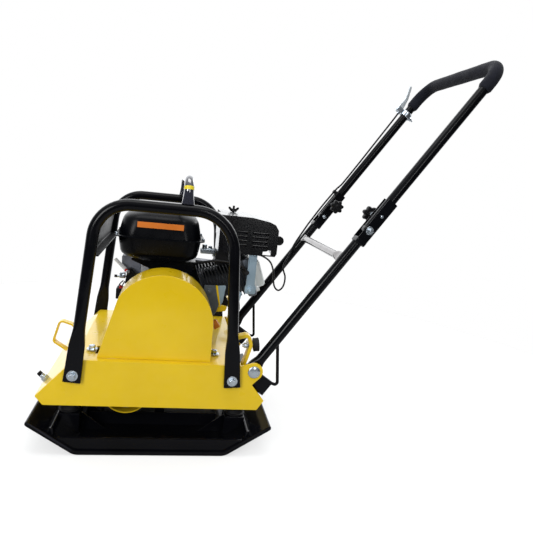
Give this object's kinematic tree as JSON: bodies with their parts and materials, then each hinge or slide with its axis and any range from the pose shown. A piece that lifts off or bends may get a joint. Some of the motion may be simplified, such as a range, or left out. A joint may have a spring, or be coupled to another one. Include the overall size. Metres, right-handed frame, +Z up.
{
  "type": "plate compactor",
  "caption": "Walk-behind vibratory plate compactor: steel base plate, sprung deck with petrol engine, belt guard, roll cage and folding handle.",
  "frame": {"origin": "centre of the flat sole of the base plate, on the ground", "axes": "+Z up, +X to the rear (handle end), -Y to the belt-guard side"},
  "size_m": [1.0046, 0.5, 0.9526],
  "materials": {
    "yellow_paint": "semi-gloss enamel",
    "black_paint": "gloss enamel",
    "black_plastic": "satin moulded plastic",
    "black_sheet": "satin heat-resistant paint",
    "rubber": "matt",
    "cable_sheath": "satin",
    "zinc": "bright zinc plate",
    "chrome": "mirror chrome",
    "steel": "machined",
    "cast_alloy": "as cast",
    "grey_plastic": "satin",
    "red_plastic": "gloss",
    "filter_foam": "open foam",
    "grip_foam": "closed-cell foam"
  },
  "bodies": {
    "base": {"base_plate": "black_paint", "exciter_housing": "yellow_paint", "exciter_cover": "yellow_paint", "exciter_bearing_near": "steel", "exciter_bearing_far": "steel", "shock_mount_front_near": "rubber", "shock_mount_front_far": "rubber", "shock_mount_rear_near": "rubber", "shock_mount_rear_far": "rubber"},
    "exciter_rotor": {"eccentric_shaft": "steel", "exciter_pulley": "steel"},
    "deck": {"deck_frame": "yellow_paint", "front_grip": "yellow_paint", "drain_fitting": "zinc", "belt_guard": "yellow_paint", "belt_chute": "yellow_paint", "drive_belt": "rubber", "rubber_bumper_near": "rubber", "rubber_bumper_far": "rubber", "pivot_bolt_near": "zinc", "pivot_bolt_far": "zinc", "hoop_near": "black_paint", "hoop_far": "black_paint", "lifting_arch": "black_paint", "front_cross_plate": "black_paint", "crankcase": "cast_alloy", "cylinder": "cast_alloy", "rocker_cover": "cast_alloy", "fuel_tank": "black_plastic", "muffler_guard": "black_sheet", "muffler": "steel", "muffler_stay": "zinc", "air_cleaner_base": "black_plastic", "filter_element": "filter_foam", "carburettor": "cast_alloy", "fan_housing": "grey_plastic", "recoil_cover": "black_plastic", "engine_switch": "black_plastic"},
    "crank": {"crankshaft": "steel", "flywheel": "cast_alloy", "clutch_pulley": "steel"},
    "tank_cap": {"fuel_cap": "black_plastic"},
    "cleaner_lid": {"air_cleaner_cover": "black_plastic"},
    "lid_nut": {"wing_nut": "black_plastic"},
    "choke": {"choke_lever": "black_plastic"},
    "starter_pull": {"recoil_grip": "black_plastic"},
    "stop_rocker": {"switch_rocker": "red_plastic"},
    "lower_handle": {"lower_arm_near": "black_paint", "lower_arm_far": "black_paint", "cross_tube": "chrome", "fold_bolt_near": "zinc", "fold_bolt_far": "zinc", "cable_lower": "cable_sheath"},
    "handle_top": {"upper_handle": "black_paint", "foam_grip": "grip_foam", "throttle_clamp": "zinc", "cable_upper": "cable_sheath"},
    "throttle": {"throttle_lever": "chrome"},
    "knob_near": {"star_knob_near": "black_plastic"},
    "knob_far": {"star_knob_far": "black_plastic"}
  },
  "joints": [
    {"name": "deck_suspension", "type": "slide", "parent": "base", "child": "deck", "axis": [0, 0, 1], "range_m": [-0.005, 0.002], "stiffness_N_per_m": 260000, "springref_m": 0.0026, "deforming": ["shock_mount_front_near", "shock_mount_front_far", "shock_mount_rear_near", "shock_mount_rear_far", "drive_belt"]},
    {"name": "crank_spin", "type": "hinge", "parent": "deck", "child": "crank", "pos_m": [0.003, 0, 0.302], "axis": [0, 1, 0], "continuous": true},
    {"name": "exciter_spin", "type": "hinge", "parent": "base", "child": "exciter_rotor", "pos_m": [-0.066, 0, 0.112], "axis": [0, 1, 0], "continuous": true},
    {"name": "handle_pivot", "type": "hinge", "parent": "deck", "child": "lower_handle", "pos_m": [0.217, 0, 0.187], "axis": [0, 1, 0], "range_deg": [-2.5, 0], "deforming": ["cable_lower"]},
    {"name": "handle_fold", "type": "hinge", "parent": "lower_handle", "child": "handle_top", "pos_m": [0.45005, 0, 0.5316], "axis": [0, 1, 0], "range_deg": [-95, 0], "deforming": ["cable_lower"]},
    {"name": "throttle_turn", "type": "hinge", "parent": "handle_top", "child": "throttle", "pos_m": [0.64365, 0.193, 0.86785], "axis": [0, 1, 0], "range_deg": [-45, 0]},
    {"name": "knob_near_turn", "type": "hinge", "parent": "lower_handle", "child": "knob_near", "pos_m": [0.47301, -0.15, 0.56556], "axis": [0, 1, 0], "continuous": true},
    {"name": "knob_far_turn", "type": "hinge", "parent": "lower_handle", "child": "knob_far", "pos_m": [0.47301, 0.15, 0.56556], "axis": [0, 1, 0], "continuous": true},
    {"name": "cap_turn", "type": "hinge", "parent": "deck", "child": "tank_cap", "pos_m": [-0.012, 0.01, 0.53], "axis": [0, 0, 1], "range_deg": [0, 90]},
    {"name": "cleaner_lift", "type": "slide", "parent": "deck", "child": "cleaner_lid", "axis": [0, 0, 1], "range_m": [0, 0.08]},
    {"name": "wing_nut_turn", "type": "hinge", "parent": "cleaner_lid", "child": "lid_nut", "pos_m": [0.167, 0.057, 0.535], "axis": [0, 0, 1], "continuous": true},
    {"name": "choke_turn", "type": "hinge", "parent": "deck", "child": "choke", "pos_m": [0.232, 0.004, 0.433], "axis": [0, 1, 0], "range_deg": [0, 20]},
    {"name": "starter_draw", "type": "slide", "parent": "deck", "child": "starter_pull", "axis": [-0.9397, 0, 0.342], "range_m": [0, 0.4]},
    {"name": "stop_switch", "type": "hinge", "parent": "deck", "child": "stop_rocker", "pos_m": [-0.097, -0.037, 0.322], "axis": [0, 1, 0], "range_deg": [-12, 12]}
  ],
  "couplings": [
    {"joint": "exciter_spin", "follows": "crank_spin", "ratio": 1.55}
  ]
}
